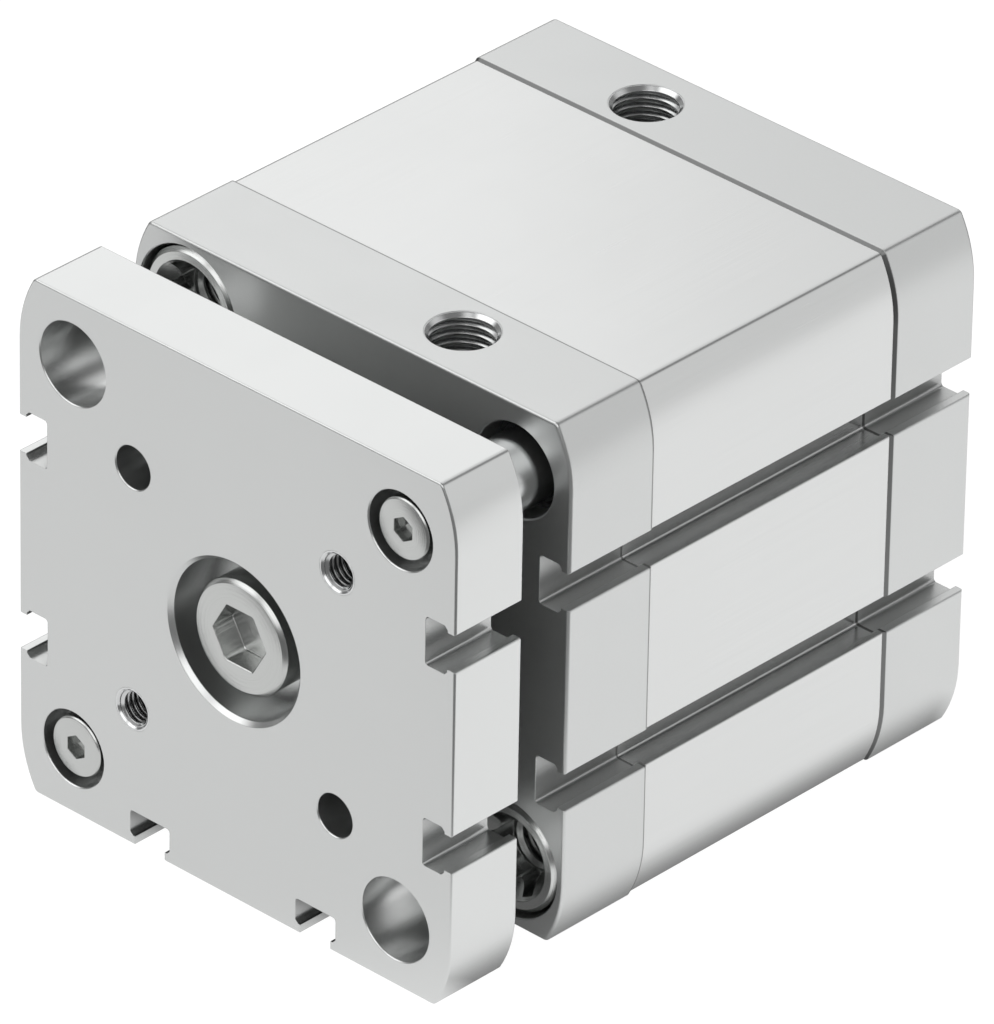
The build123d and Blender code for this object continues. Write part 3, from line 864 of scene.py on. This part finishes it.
def build_collar_screw(node):
    """Mesh of a collar screw with the head radius and the length of that node."""
    head_radius, length = node_size(node)
    core = COLLAR_THREAD - THREAD_DEPTH_SHARE * COLLAR_PITCH
    lobes = lobes_at(LOBE_RADIUS, WEB_RADIUS, WEB_CIRCLE, LOBES)
    stations = [
        (LOBE_DEPTH, circle_at(BORE_RADIUS)),
        (LOBE_DEPTH, lobes),
        (lambda reach: LOBE_RADIUS + ENTRY - reach, lobes),
        (0.0, circle_at(LOBE_RADIUS + ENTRY)),
        (0.0, circle_at(head_radius - COLLAR_BEVEL)),
        (COLLAR_BEVEL, circle_at(head_radius)),
        (COLLAR_HEAD - COLLAR_EDGE, circle_at(head_radius)),
        (COLLAR_HEAD, circle_at(head_radius - COLLAR_EDGE)),
        (COLLAR_HEAD, circle_at(core)),
        (length - TIP_CHAMFER, circle_at(core)),
        (length, circle_at(core - TIP_CHAMFER / 2)),
        (length, circle_at(BORE_RADIUS + TIP_CHAMFER / 2)),
        (length - TIP_CHAMFER / 2, circle_at(BORE_RADIUS)),
    ]
    bm = bmesh.new()
    skin(bm, stations, closed=True)
    thread_ridge(bm, core, COLLAR_THREAD, COLLAR_PITCH, COLLAR_HEAD + COLLAR_PITCH, length)
    crest = BORE_RADIUS - NUT_DEPTH_SHARE * BORE_PITCH
    thread_ridge(bm, BORE_RADIUS, crest, BORE_PITCH, LOBE_DEPTH, length - TIP_CHAMFER / 2)
    return finish_mesh(bm, "collar_screw_template")


collar_template = build_collar_screw("front_collar_screw_1")
collar_names = [name for name in nodes if "collar_screw" in name]
for name in collar_names:
    place_screw(collar_template, name)
print("collar screws:", len(collar_names), "with", len(collar_template.polygons), "faces each")

# %% [markdown]
# ## The threaded holes
# The record gives the mouth, the direction and the radius of every threaded hole. The two ports and the
# two threaded holes of the plate get a lining with a 45 degree lead-in at the mouth, and a ridge on it. In
# the ports the lining is only the ring in front of the first turn. In the plate the real thread is a size
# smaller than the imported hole, so there the lining runs right through, and the thread starts close to the
# face. A hair's breadth keeps the lining off the wall.

# %% Build the threads of the plate and the ports
FOOT_ROOM = 0.01
END_ROOM = 0.15
LOAD_THREAD = {"pitch": 0.8, "mouth": 2.78, "wall": 2.50, "crest": 2.07, "start": 0.05, "body": "rod"}
PORT_THREAD = {"pitch": 1.25, "mouth": 4.85, "wall": 4.85, "crest": 4.28, "start": 0.40, "body": "barrel"}
HOLE_THREADS = {
    "load_thread_left": LOAD_THREAD,
    "load_thread_right": LOAD_THREAD,
    "port_front": PORT_THREAD,
    "port_rear": PORT_THREAD,
}

for mount in frame["record"]["mounts"]:
    name = mount["name"]
    if name not in HOLE_THREADS:
        continue
    thread = HOLE_THREADS[name]
    hole = mount["dims"]["r_mm"] - FOOT_ROOM
    end = mount["dims"]["length_mm"] - END_ROOM
    mouth, wall, crest = thread["mouth"], thread["wall"], thread["crest"]
    lined = wall < hole - FOOT_ROOM
    narrow = wall if lined else crest
    lead_in = mouth - narrow
    lining_end = end if lined else lead_in + crest_to_foot(thread["pitch"])
    lining = [
        (0.0, circle_at(hole)),
        (0.0, circle_at(mouth)),
        (lead_in, circle_at(narrow)),
        (lining_end, circle_at(wall)),
    ]
    if lined:
        lining.append((lining_end, circle_at(hole)))
    bm = bmesh.new()
    skin(bm, lining, closed=True)
    thread_ridge(bm, wall, crest, thread["pitch"], thread["start"], end)
    placing = placing_for(*mount["pos_m"], -Vector(mount["axis"]))
    ridge = finish_mesh(bm, name + "_template")
    place_piece(ridge, name + "_ridge", placing, thread_aluminium, thread["body"])
    print("thread:", name, "pitch", thread["pitch"], "mm")

# %% [markdown]
# ## The studio
# The part stands on a plain pale floor under soft light. A photograph like this one is white all round,
# so the floor and the world show white to the camera, while the floor keeps part of its own shading and
# with it the shadow. What a metal face shows is what it mirrors. Seen from this camera, the front face
# mirrors the floor on the left, the right face mirrors the floor behind on the right, and the top mirrors
# the room behind on the left. The floor is therefore pale in a band that runs from the left to the right
# behind, and dark in front of the band and beyond it. The rounding of an edge between two pale faces
# mirrors the dark floor, which draws the thin dark lines that describe the shape. Under the part a painted
# shadow darkens what the metal mirrors of the floor, and that shades the lower rounded sides.

# %% Floor
FLOOR_SIZE = 6.0
FLOOR_TONE = 0.86
FLOOR_ROUGHNESS = 0.9
CAMERA_WHITE = 1.15
CAMERA_WHITE_SHARE = 0.85
MIRRORED_SHARE = 0.85
MIRRORED_FRONT = 0.855
MIRRORED_SIDE = 1.14
MIRRORED_FAR = 0.80
MIRRORED_OUTSIDE = 0.12
BAND_MIDDLE = 0.0345
BAND_FULL = 0.058
BAND_END = 0.090
BAND_SPREAD = 0.13
FRONT_END = -0.10
SIDE_START = -0.02
UNDER_ROOM = 5.0 * MM
UNDER_SHADOW_TONE = 0.15
NEAR_FLOOR = 0.20
FAR_FLOOR = 0.70


def show_mix(tree, share, shaded, plain, output):
    """Mixes a shaded and a plain shader, and joins them to the tree's output node."""
    values = {"Fac": share, 1: shaded.outputs[0], 2: plain.outputs[0]}
    mix = add_node(tree, "ShaderNodeMixShader", values)
    join(tree, mix.outputs[0], tree.nodes[output].inputs["Surface"])


def painted_shadow_under_part(tree, point):
    """Painted shadow in what metal mirrors: 1 on the open floor, dark under the part, where no light gets
    in.
    """
    parts = add_node(tree, "ShaderNodeSeparateXYZ", {0: point}).outputs
    past = []
    for axis, low, high in (
        ("X", cad_low.x, cad_high.x),
        ("Y", cad_low.y + UNDER_ROOM, cad_high.y),
    ):
        off = calc(tree, "SUBTRACT", parts[axis], (low + high) / 2)
        past.append(calc(tree, "SUBTRACT", calc(tree, "ABSOLUTE", off), (high - low) / 2))
    return fade(tree, calc(tree, "MAXIMUM", *past), -UNDER_ROOM, UNDER_ROOM, UNDER_SHADOW_TONE, 1.0)


def build_floor_material():
    """Pale matt floor, nearly white to camera rays. Mirrored rays see a pale band that crosses the view."""
    material, shader = start_material("pale_floor", 0.0, FLOOR_ROUGHNESS)
    tree = material.node_tree
    shader.inputs["Base Color"].default_value = grey(FLOOR_TONE)
    point = add_node(tree, "ShaderNodeTexCoord").outputs["Object"]
    distance = add_node(tree, "ShaderNodeVectorMath", {0: point}, operation="LENGTH").outputs["Value"]
    to_side = along(tree, point, (1.0, 1.0, 0.0))
    across = fade(tree, to_side, FRONT_END, SIDE_START, MIRRORED_FRONT, MIRRORED_SIDE)
    nearness = fade(tree, distance, NEAR_FLOOR, FAR_FLOOR, 1.0, MIRRORED_FAR)
    away = along(tree, point, -level_back)
    aside = calc(tree, "ABSOLUTE", calc(tree, "ADD", away, BAND_MIDDLE))
    off_band = calc(tree, "ADD", aside, calc(tree, "MULTIPLY", distance, -BAND_SPREAD))
    band = fade(tree, off_band, BAND_FULL, BAND_END, 1.0, MIRRORED_OUTSIDE)
    open_tone = calc(tree, "MULTIPLY", calc(tree, "MULTIPLY", across, nearness), band)
    # Painted shadow under the part, in what the metal mirrors of the floor.
    mirrored_tone = calc(tree, "MULTIPLY", open_tone, painted_shadow_under_part(tree, point))

    rays = add_node(tree, "ShaderNodeLightPath").outputs
    from_camera, from_metal = rays["Is Camera Ray"], rays["Is Glossy Ray"]
    camera_part = calc(tree, "MULTIPLY", from_camera, CAMERA_WHITE_SHARE)
    share = calc(tree, "ADD", camera_part, calc(tree, "MULTIPLY", from_metal, MIRRORED_SHARE))
    tone = blend(tree, from_camera, mirrored_tone, grey(CAMERA_WHITE))
    plain = add_node(tree, "ShaderNodeEmission", {"Color": tone, "Strength": 1.0})
    show_mix(tree, share, shader, plain, "Material Output")
    return material


floor_mesh = bpy.data.meshes.new("studio_floor")
floor_bm = bmesh.new()
bmesh.ops.create_grid(floor_bm, x_segments=1, y_segments=1, size=FLOOR_SIZE / 2)
bmesh.ops.translate(floor_bm, verts=floor_bm.verts, vec=(0.0, 0.0, cad_low.z))
floor_bm.to_mesh(floor_mesh)
floor_bm.free()
floor_mesh.materials.append(build_floor_material())
floor = bpy.data.objects.new("studio_floor", floor_mesh)
bpy.context.scene.collection.objects.link(floor)
print("floor at z =", round(cad_low.z / MM, 3), "mm")

# %% [markdown]
# The room is a world that is dim all round with soft panels in it, each a patch round a direction. The
# dot product of a ray with the panel's direction says how near the ray passes to the panel's middle, and
# each panel has a lower edge, given as two heights between which it fades in. The panel behind on the
# left lights the top faces, and the one behind on the right the rounded corners. The two in front put the
# thin bright lines on rims and chamfers that face the viewer. Camera rays skip all this and see white.

# %% The room
ROOM_TONE = 0.20
PANELS = (
    {"towards": (-0.60, 0.62, 0.50), "edge": 0.66, "full": 0.90, "tone": 0.70, "lower": (0.05, 0.32)},
    {"towards": (0.76, 0.60, 0.20), "edge": 0.76, "full": 0.95, "tone": 0.62, "lower": (-0.5, -0.4)},
    {"towards": (0.36, -0.74, 0.56), "edge": 0.86, "full": 0.96, "tone": 1.25, "lower": (0.0, 0.3)},
    {"towards": (-0.52, -0.52, 0.67), "edge": 0.84, "full": 0.95, "tone": 1.30, "lower": (0.32, 0.55)},
)


def build_room():
    """World with soft panels in a dim room, white to the camera."""
    world = bpy.data.worlds.new("studio_room")
    world.use_nodes = True
    tree = world.node_tree
    room = tree.nodes["Background"]
    direction = add_node(tree, "ShaderNodeTexCoord").outputs["Generated"]
    height = add_node(tree, "ShaderNodeSeparateXYZ", {0: direction}).outputs["Z"]
    total = ROOM_TONE
    for panel in PANELS:
        facing = along(tree, direction, Vector(panel["towards"]).normalized())
        glow = fade(tree, facing, panel["edge"], panel["full"], 0.0, panel["tone"])
        above = fade(tree, height, *panel["lower"], 0.0, 1.0)
        total = calc(tree, "ADD", total, calc(tree, "MULTIPLY", glow, above))
    join(tree, total, room.inputs["Color"])
    from_camera = add_node(tree, "ShaderNodeLightPath").outputs["Is Camera Ray"]
    white = add_node(tree, "ShaderNodeBackground", {"Color": grey(1.0), "Strength": 1.0})
    show_mix(tree, from_camera, room, white, "World Output")
    return world


bpy.context.scene.world = build_room()
print("room: tone", ROOM_TONE, "and", len(PANELS), "panels")

# %% [markdown]
# Two large soft lamps shape the part. The key stands behind on the left, where the top faces mirror it,
# and close enough that it fades from the front of the part to the rear. A weak fill stands in front.

# %% Soft lamps
def soft_lamp(name, place, aim, size, power):
    """Square area lamp at a point of the frame, turned towards another."""
    data = bpy.data.lights.new(name, "AREA")
    data.shape = "SQUARE"
    data.size = size
    data.energy = power
    lamp = bpy.data.objects.new(name, data)
    bpy.context.scene.collection.objects.link(lamp)
    direction = Vector(aim) - Vector(place)
    turn = direction.to_track_quat("-Z", "Y").to_matrix().to_4x4()
    lamp.matrix_world = Matrix.Translation(Vector(place)) @ turn
    return lamp


middle = (cad_low + cad_high) / 2
soft_lamp("key_lamp", (-0.42, 0.22, 0.36), middle, size=0.32, power=0.10)
soft_lamp("fill_lamp", (-0.45, -0.80, 0.30), middle, size=0.7, power=0.3)
print("lamps: 2")
